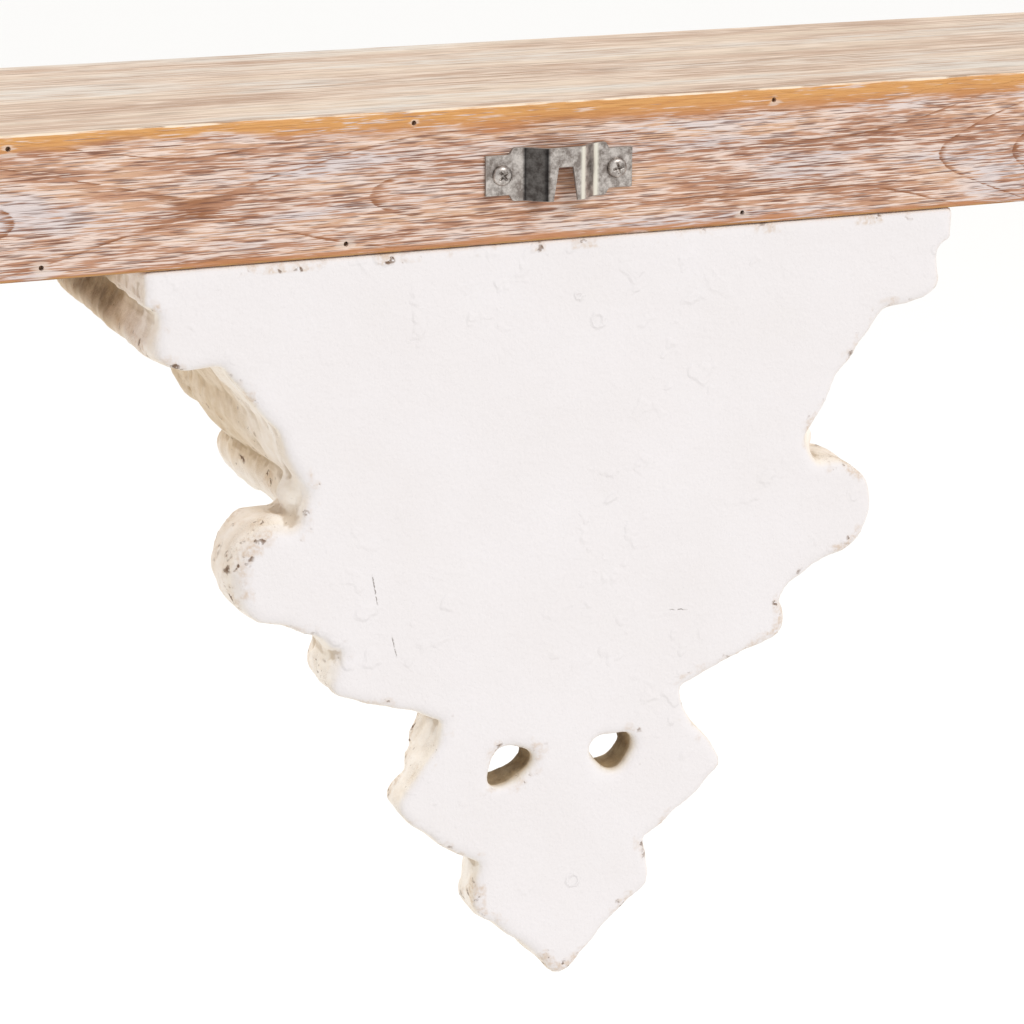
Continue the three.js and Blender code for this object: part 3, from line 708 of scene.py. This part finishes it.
def distressed_paint():
    """White chalk paint over carved wood.

    Near white on the flat back, warmer cream elsewhere; tan and grimy, painted shade with some grime, under
    the cap, on the cheeks and on the eye walls;
    tan glaze left in hollows; paint chipped to brown where an arris is sharp and two noises are
    high; hair cracks along the borders of cells about 5 mm wide; scratches and dents on the back.
    Each is a layer: a colour and the share of it that covers what lies below.
    """
    material, tree, shader = start_material("distressed white chalk paint", Roughness=0.82,
                                            Specular_IOR_Level=0.25)
    place = add_node(tree, "TexCoord", output=3)
    sharp = add_node(tree, "Attribute", output=2, attribute_name="sharpness")
    painted_shade_and_grime = add_node(tree, "Attribute", output=2, attribute_name="painted_shade_and_grime")
    facing = add_node(tree, "SeparateXYZ", {0: add_node(tree, "NewGeometry", output=1)}, output=1)
    depth = add_node(tree, "SeparateXYZ", {0: place}, output=1)

    def mottle(size, detail=3.0, rough=0.55):
        """Noise with cells about size mm wide."""
        return add_node(tree, "TexNoise", {"Vector": place, "Scale": 1000 / size, "Detail": detail,
                                           "Roughness": rough})

    def where(*limits):
        """How far all of some limits are met: the product, over each (value, low, high, most), of
        what runs from 0 where the value is at low to most where it is at high."""
        share = None
        for value, low, high, most in limits:
            met = add_node(tree, "MapRange", {"Value": value, "From Min": low, "From Max": high,
                                              "To Max": most})
            share = met if share is None else add_node(tree, "Math", {0: share, 1: met},
                                                       operation="MULTIPLY")
        return share

    cloudy = mottle(36)
    blotch = mottle(7, 4.0, 0.6)
    grit = mottle(1.4, 4.0, 0.65)
    off_back = add_node(tree, "Math", {0: where((facing, 0.95, 0.3, 1.0)),
                                       1: where((depth, -0.002, -0.005, 1.0))}, operation="MAXIMUM")

    # the paint itself, each coat in a darker and a lighter tone: back, cream, tan and grime; the tan and
    # grime coats carry painted shade
    coats = []
    for dark, light, lightness in (("#DFDAD9", "#E5E1E2", cloudy),
                                   ("#EADFD0", "#F3ECE3", where((blotch, 0.3, 0.62, 1.0))),
                                   ("#D0BC9F", "#E0D0BA", where((blotch, 0.36, 0.62, 1.0))),
                                   ("#7D684C", "#B09B7B", where((blotch, 0.36, 0.66, 1.0)))):
        coats.append(add_node(tree, "Mix", {0: lightness, 6: dark, 7: light}, 2, data_type="RGBA"))
    back_white, cream, tan_and_painted_shade, grime_and_painted_shade = coats
    # painted shade, with some grime: tan where the bracket's painted shade is middling, dark grime where it
    # is deepest
    for share, above in ((where((painted_shade_and_grime, 0.05, 0.6, 1.0)), tan_and_painted_shade), (where((painted_shade_and_grime, 0.6, 1.0, 1.0)), grime_and_painted_shade)):
        cream = add_node(tree, "Mix", {0: share, 6: cream, 7: above}, 2, data_type="RGBA")

    # glaze in the hollows, then wear and chips on the arrises, hair cracks and specks
    hollow = add_node(tree, "Math", {0: sharp, 1: -1.0}, operation="MULTIPLY")
    hollow = add_node(tree, "Math", {0: blotch, 1: 0.08, 2: hollow}, operation="MULTIPLY_ADD")
    worn = ((sharp, 0.05, 0.17, 1.0), (mottle(15, 3.0, 0.6), 0.52, 0.62, 1.0))
    chipped = where(*worn, (mottle(3.6, 2.0, 0.5), 0.60, 0.63, 1.0), (grit, 0.4, 0.45, 0.9))
    drift = add_node(tree, "TexNoise", {"Vector": place, "Scale": 90.0, "Detail": 3.0}, output=1)
    warped = add_node(tree, "Mix", {0: 0.35, 4: place, 5: drift}, 1, data_type="VECTOR")
    crackle = add_node(tree, "TexVoronoi", {"Vector": warped, "Scale": 190.0},
                       feature="DISTANCE_TO_EDGE")
    cracked = where((crackle, 0.035, 0.01, 1.0), (mottle(17), 0.5, 0.6, 0.6), (off_back, 0.0, 1.0, 1.0))
    speck = where((mottle(2.2, 2.0, 0.5), 0.70, 0.73, 1.0), (cloudy, 0.45, 0.6, 0.7),
                  (off_back, 0.0, 1.0, 1.0))
    layers = [(off_back, cream), (where((hollow, 0.10, 0.30, 0.5)), "#A58B66"),
              (where(*worn, (grit, 0.35, 0.6, 0.5)), "#C0A07A"), (chipped, "#664A33"),
              (cracked, "#80684A"), (speck, "#6E573E")]

    # scratches: thin where the distance off their line is small, and cut off at both ends
    marks = None
    for x0, z0, x1, z1 in SCRATCHES:
        end = np.array((x1 - x0, 0, z1 - z0)) / 1000
        span = float(np.linalg.norm(end))
        from_start = add_node(tree, "VectorMath", {0: place, 1: (x0 / 1000, 0, z0 / 1000)},
                              operation="SUBTRACT")
        along = add_node(tree, "VectorMath", {0: from_start, 1: end / span}, output=1,
                         operation="DOT_PRODUCT")
        across = add_node(tree, "VectorMath", {0: from_start, 1: (-end[2] / span, 0, end[0] / span)},
                          output=1, operation="DOT_PRODUCT")
        across = add_node(tree, "Math", {0: grit, 1: 0.0012, 2: across}, operation="MULTIPLY_ADD")
        across = add_node(tree, "Math", {0: across, 1: -0.0006})
        off_line = add_node(tree, "Math", {0: across}, operation="ABSOLUTE")
        off_middle = add_node(tree, "Math", {0: along, 1: -span / 2})
        off_middle = add_node(tree, "Math", {0: off_middle}, operation="ABSOLUTE")
        mark = where((off_line, 0.00028, 0.00012, 1.0), (off_middle, span / 2, span / 2 - 0.002, 1.0))
        marks = mark if marks is None else add_node(tree, "Math", {0: marks, 1: mark},
                                                    operation="MAXIMUM")
    layers += [(where((marks, 0.0, 1.0, 1.0), (grit, 0.38, 0.5, 1.0), (off_back, 1.0, 0.0, 0.75)),
                "#6B6058")]

    colour = back_white
    for share, above in layers:
        colour = add_node(tree, "Mix", {0: share, 6: colour, 7: above}, 2, data_type="RGBA")
    tree.links.new(colour, shader.inputs["Base Color"])

    # relief: brushed paint, lumps in it, chips sunk into it, and the raised rims of the dents
    lumps = where((mottle(10, 2.0, 0.5), 0.57, 0.64, 1.0), (mottle(60, 1.0), 0.48, 0.6, 1.0))
    raised = [(blotch, 1.5), (lumps, 1.4), (chipped, -1.2)]
    for x0, z0, reach in DENTS:
        gap = add_node(tree, "VectorMath", {0: place, 1: (x0 / 1000, 0, z0 / 1000)}, output=1,
                       operation="DISTANCE")
        gap = add_node(tree, "Math", {0: blotch, 1: 0.006, 2: gap}, operation="MULTIPLY_ADD")
        gap = add_node(tree, "Math", {0: gap, 1: -0.003})
        edge = reach / 1000
        raised.append((where((gap, edge, 0.7 * edge, 1.0), (gap, 0.3 * edge, 0.62 * edge, 1.0)), 1.6))
    relief = grit
    for value, amount in raised:
        relief = add_node(tree, "Math", {0: value, 1: amount, 2: relief}, operation="MULTIPLY_ADD")
    bump = add_node(tree, "Bump", {"Strength": 0.4, "Distance": 0.0007, "Height": relief})
    tree.links.new(bump, shader.inputs["Normal"])
    return material


def store_on_points(piece, attribute, values):
    """Keeps one number for each vertex in an attribute, which the piece's material reads."""
    layer = piece.data.attributes.new(attribute, "FLOAT", "POINT")
    layer.data.foreach_set("value", values.astype(np.float32))


chalk_paint = distressed_paint()
for seed, side_name in ((7, "left"), (8, "right")):
    node_name = side_name + "_bracket"
    carved, carved_faces, sharpness, painted_shade_and_grime = carved_bracket(seed)
    low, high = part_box(node_name)
    middle = (low + high) / 2
    placed = carved * (1, -1, 1) / 1000 + (middle.x, 0, high.z)
    bracket = mesh_object("carved_" + node_name, placed, carved_faces[:, ::-1])
    store_on_points(bracket, "sharpness", sharpness)
    # the painted shade, with some grime, kept on the points for the paint to read
    store_on_points(bracket, "painted_shade_and_grime", painted_shade_and_grime)
    bracket.data.materials.append(chalk_paint)
    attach(bracket, "root")
    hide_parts(node_name)


# ---------------------------------------------------------------------------------------------
# Hangers. Zinc plated steel strap, blanked and pressed: two ears screwed to the back board and a
# raised bridge between them, with a slot open at the bottom that drops over a wall screw.
# ---------------------------------------------------------------------------------------------

STRAP = 1.2                  # mm, sheet thickness
RISE = 5.5                   # of the bridge off the board
EAR_END, EAR_START, BEND_FOOT, BEND_HEAD = 26.7, 17.0, 12.7, 6.3    # across, from the middle
EAR_HALF, BRIDGE_HALF = 6.8, 9.0                                    # half heights
SLOT_TOP = 2.4               # height of the slot's top edge above the strap's middle
SLOT_HALVES = (4.4, 2.6)     # half widths at the bottom edge and at the top of the slot
BEND_RADIUS = 1.8


def rounded_path(corners, radius, steps=7):
    """A path through corner points whose inner corners are rounded: each corner is replaced by a
    quadratic curve that starts and ends radius away from it."""
    points = [np.array([corners[0]])]
    for before, here, after in zip(corners, corners[1:], corners[2:]):
        back = np.subtract(before, here) / np.linalg.norm(np.subtract(before, here))
        on = np.subtract(after, here) / np.linalg.norm(np.subtract(after, here))
        points.append(bow(here + back * radius, here, here + on * radius, steps))
    points.append(np.array([corners[-1]]))
    return np.vstack(points)


def strap_blank():
    """Flat blank of the strap as patches of (s, v): s along it from its middle, v up.

    Each side is a grid whose height is the ear's or the bridge's, eased from one to the other;
    between bridge corner and slot the columns lean with the slot's edge; one patch closes the top.
    """
    beside_slot = np.linspace(-BRIDGE_HALF, SLOT_TOP, 8)
    above_slot = np.linspace(SLOT_TOP, BRIDGE_HALF, 6)
    rows = np.concatenate([beside_slot, above_slot[1:]])
    half = strap_length / 2
    ear = np.linspace(half, EAR_AT + 1.6, 9)
    leg = np.linspace(EAR_AT + 1.6, BEND_HEAD, 26)
    outer = np.concatenate([ear, leg[1:]])
    height = EAR_HALF + (BRIDGE_HALF - EAR_HALF) * (1 - ease(outer, EAR_AT - 0.4, EAR_AT + 1.4))
    side_s = np.repeat(outer[:, None], len(rows), 1)
    side_v = height[:, None] / BRIDGE_HALF * rows[None, :]
    lean = np.interp(rows, [-BRIDGE_HALF, SLOT_TOP], SLOT_HALVES)
    share = np.linspace(0, 1, 5)[:, None]
    cheek_s = BEND_HEAD * (1 - share) + lean[None, :] * share
    cheek_v = np.repeat(rows[None, :], len(share), 0)
    bridge = np.linspace(SLOT_HALVES[1], -SLOT_HALVES[1], 6)
    top_s, top_v = np.meshgrid(bridge, above_slot, indexing="ij")
    patches = []
    for sign in (1, -1):
        patches += [(sign * side_s, side_v), (sign * cheek_s, cheek_v)]
    return patches + [(top_s, top_v)]


def grid_faces(rows, columns, start=0):
    """Quads of a rows by columns grid of vertices numbered row by row."""
    at = start + np.arange(rows * columns).reshape(rows, columns)
    return np.stack([at[:-1, :-1], at[1:, :-1], at[1:, 1:], at[:-1, 1:]], -1).reshape(-1, 4)


bend_line = rounded_path([(0, RISE), (BEND_HEAD, RISE), (BEND_FOOT, 0), (EAR_END, 0)], BEND_RADIUS)
bend_run = np.concatenate([[0], np.cumsum(np.hypot(*np.diff(bend_line, axis=0).T))])
strap_length = 2 * bend_run[-1]
EAR_AT = bend_run[-1] - (EAR_END - EAR_START)
LEG = np.interp((BEND_HEAD, BEND_FOOT), bend_line[:, 0], bend_run)   # the leg's ends along the strap


def zinc_plate():
    """Bright zinc on pressed steel: a grey mirror dulled by fine rolling lines along the strap, by
    specks under a mm and by clouds a few mm across. Where the attribute on the points is positive the
    plating is painted near black, a painted dark reflection; where it is negative the bends are painted
    nearly white, a painted highlight."""
    material, tree, shader = start_material("bright zinc plated steel", Metallic=1.0)
    place = add_node(tree, "TexCoord", output=3)
    along = add_node(tree, "Mapping", {"Vector": place, "Scale": (80, 4000, 4000)})
    rolled = add_node(tree, "TexNoise", {"Vector": along, "Scale": 1.0, "Detail": 3.0})
    cloudy = add_node(tree, "TexNoise", {"Vector": place, "Scale": 380.0, "Detail": 6.0, "Roughness": 0.7})
    tone = add_node(tree, "MapRange", {"Value": cloudy, "From Min": 0.40, "From Max": 0.62})
    zinc = add_node(tree, "Mix", {0: tone, 6: "#867D77", 7: "#CFC8C2"}, 2, data_type="RGBA")
    painted_reflection = add_node(tree, "Attribute", output=2, attribute_name="painted_reflection")
    # painted dark reflection where the attribute is positive, painted highlight where it is negative
    painted_dark_share = add_node(tree, "MapRange", {"Value": painted_reflection, "To Max": 0.97})
    painted_highlight = add_node(tree, "MapRange", {"Value": painted_reflection, "From Min": -0.2, "From Max": -0.8})
    zinc = add_node(tree, "Mix", {0: painted_highlight, 6: zinc, 7: "#EDE8DA"}, 2, data_type="RGBA")
    tree.links.new(add_node(tree, "Mix", {0: painted_dark_share, 6: zinc, 7: "#181617"}, 2, data_type="RGBA"),
                   shader.inputs["Base Color"])
    tree.links.new(add_node(tree, "MapRange", {"Value": cloudy, "To Min": 0.28, "To Max": 0.5}),
                   shader.inputs["Roughness"])
    tree.links.new(add_node(tree, "Bump", {"Strength": 0.12, "Distance": 0.0001, "Height": rolled}),
                   shader.inputs["Normal"])
    return material


plated_steel = zinc_plate()

# the blank's edges were cut after plating, so they are dull and throw no glints
sheared_edge, _, _ = start_material("sheared edge of zinc plated steel", Metallic=1.0, Roughness=0.6,
                                    Base_Color="#A59E98")
for side_name in ("left", "right"):
    node_name = side_name + "_hanger"
    low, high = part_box(node_name)
    centre = (low + high) / 2
    points, faces, marks = [], [], []
    for s, v in strap_blank():
        sx = np.sign(s) * np.interp(np.abs(s), bend_run, bend_line[:, 0])
        sy = np.interp(np.abs(s), bend_run, bend_line[:, 1]) + STRAP / 2
        patch = grid_faces(*s.shape, start=sum(len(p) for p in points))
        faces.append(patch[:, ::-1] if s[0, 0] < 0 else patch)
        # painted reflection: a near black band on the +X leg, darkest at its bends, and painted highlights
        # on the bends of the -X leg
        dark_reflection_band = ease(s, LEG[0] - 0.9, LEG[0]) * (1 - ease(s, LEG[1], LEG[1] + 0.7))
        at_bend = bump_at(np.abs(s), LEG[0], 0.9) + bump_at(np.abs(s), LEG[1], 0.7)
        painted_highlight = bump_at(s, -LEG[0], 1.0) + bump_at(s, -LEG[1], 1.5)
        painted_highlight -= 0.4 * bump_at(s, -LEG.mean(), 1.1)
        mark = 0.8 * dark_reflection_band + 0.2 * dark_reflection_band * at_bend - painted_highlight
        marks.append(mark.ravel())
        points.append(np.stack([centre.x + sx / 1000, sy / 1000, centre.z + v / 1000], -1).reshape(-1, 3))
    hanger = mesh_object("pressed_" + node_name, np.vstack(points), np.vstack(faces))
    store_on_points(hanger, "painted_reflection", np.concatenate(marks))
    hanger.data.materials.append(plated_steel)
    hanger.data.materials.append(sheared_edge)
    weld = hanger.modifiers.new("weld", "WELD")
    weld.merge_threshold = 0.00002
    plate = hanger.modifiers.new("sheet", "SOLIDIFY")
    plate.thickness = STRAP / 1000
    plate.offset = 0
    plate.material_offset_rim = 1
    edges = hanger.modifiers.new("blanked_edge", "BEVEL")
    edges.width = 0.00012
    edges.segments = 2
    edges.limit_method = "ANGLE"
    edges.angle_limit = np.radians(50)
    edges.harden_normals = True
    edges.material = 1
    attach(hanger, "root")
    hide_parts(node_name)


# ---------------------------------------------------------------------------------------------
# Hanger screws. Small pan head wood screws, zinc plated, with a cross recess; two hold each
# hanger through the back board into the bearer block.
# ---------------------------------------------------------------------------------------------

HEAD_RADIUS = 3.5            # mm
HEAD_HEIGHT = 1.9
SHANK_RADIUS = 1.5
SCREW_REACH = 16.0
ARM_REACH, ARM_HALF = 2.0, 0.42      # of the cross recess


def pan_head_screw(turned):
    """Vertices (mm) and quads of a screw along -y, from the point to the middle of the head.

    A profile of (radius, height) turned round the axis; inside the head the height is lowered in
    a cross whose arms are turned by an angle: the recess deepens to the middle.
    """
    ring = np.radians(np.arange(0, 360, 5))
    shank = np.array([(0.02, -SCREW_REACH), (SHANK_RADIUS * 0.8, -SCREW_REACH + 4),
                      (SHANK_RADIUS, -SCREW_REACH + 6), (SHANK_RADIUS, -0.1),
                      (HEAD_RADIUS - 0.15, 0.0), (HEAD_RADIUS, 0.2)])
    crown = np.linspace(1, 0.004, 30)
    dome = np.column_stack([HEAD_RADIUS * crown, 0.2 + (HEAD_HEIGHT - 0.2) * (1 - crown ** 4) ** 0.55])
    profile = np.vstack([shank, dome[1:]])
    radius = profile[:, :1] * np.ones(len(ring))
    height = profile[:, 1:] * np.ones(len(ring))
    a = radius * np.cos(ring - turned)
    b = radius * np.sin(ring - turned)
    arm = np.minimum(np.maximum(np.abs(a) - ARM_REACH, np.abs(b) - ARM_HALF),
                     np.maximum(np.abs(b) - ARM_REACH, np.abs(a) - ARM_HALF))
    deep = np.where(profile[:, 1:] > 0.3, 1.0, 0.0) * (1 - ease(arm, -0.25, 0.12))
    height = height - deep * (0.5 + 0.8 * (1 - ease(radius, 0.2, 2.2)))
    points = np.stack([radius * np.cos(ring), height, -radius * np.sin(ring)], -1).reshape(-1, 3)
    at = np.arange(len(profile) * len(ring)).reshape(len(profile), len(ring))
    on = np.roll(at, -1, 1)
    faces = np.stack([at[:-1], on[:-1], on[1:], at[1:]], -1).reshape(-1, 4)
    return points, faces


screw_turns = iter(np.radians([12, 40, 68, 25]))
for node_name in sorted(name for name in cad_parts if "_hanger_screw_" in name):
    low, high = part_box(node_name)
    centre = (low + high) / 2
    points, faces = pan_head_screw(next(screw_turns))
    placed = points / 1000 + (centre.x, STRAP / 1000, centre.z)
    screw = mesh_object("pan_head_" + node_name, placed, faces)
    screw.data.materials.append(plated_steel)
    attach(screw, "root")
    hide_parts(node_name)
